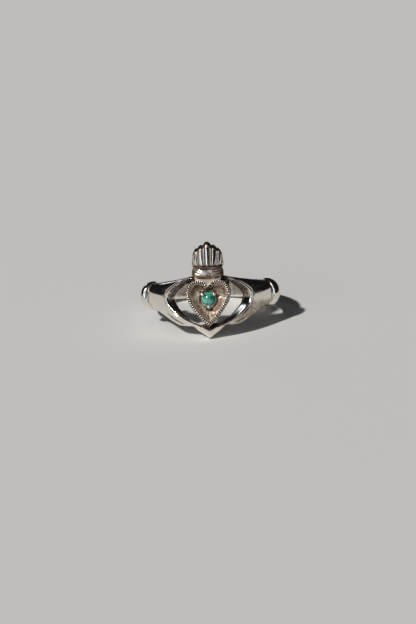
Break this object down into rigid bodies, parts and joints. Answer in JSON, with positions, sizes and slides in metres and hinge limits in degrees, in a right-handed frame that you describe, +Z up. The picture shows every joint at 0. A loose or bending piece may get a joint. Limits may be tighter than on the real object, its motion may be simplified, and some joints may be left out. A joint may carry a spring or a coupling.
{
  "type": "claddagh ring",
  "caption": "Finger ring: two cuffed hands hold a crowned heart with a notched border and one round cabochon.",
  "frame": {"origin": "middle of the footprint, on the surface that the ring lies on", "axes": "+Z up from that surface, -Y the way the heart faces, +X to the right of someone who faces the heart"},
  "size_m": [0.0204, 0.0216, 0.0139],
  "materials": {
    "silver": "polished sterling silver, dark tarnish in the creases",
    "turquoise": "polished green stone with grey veins"
  },
  "bodies": {
    "root": {"ring": "silver", "stone": "turquoise"}
  },
  "joints": []
}
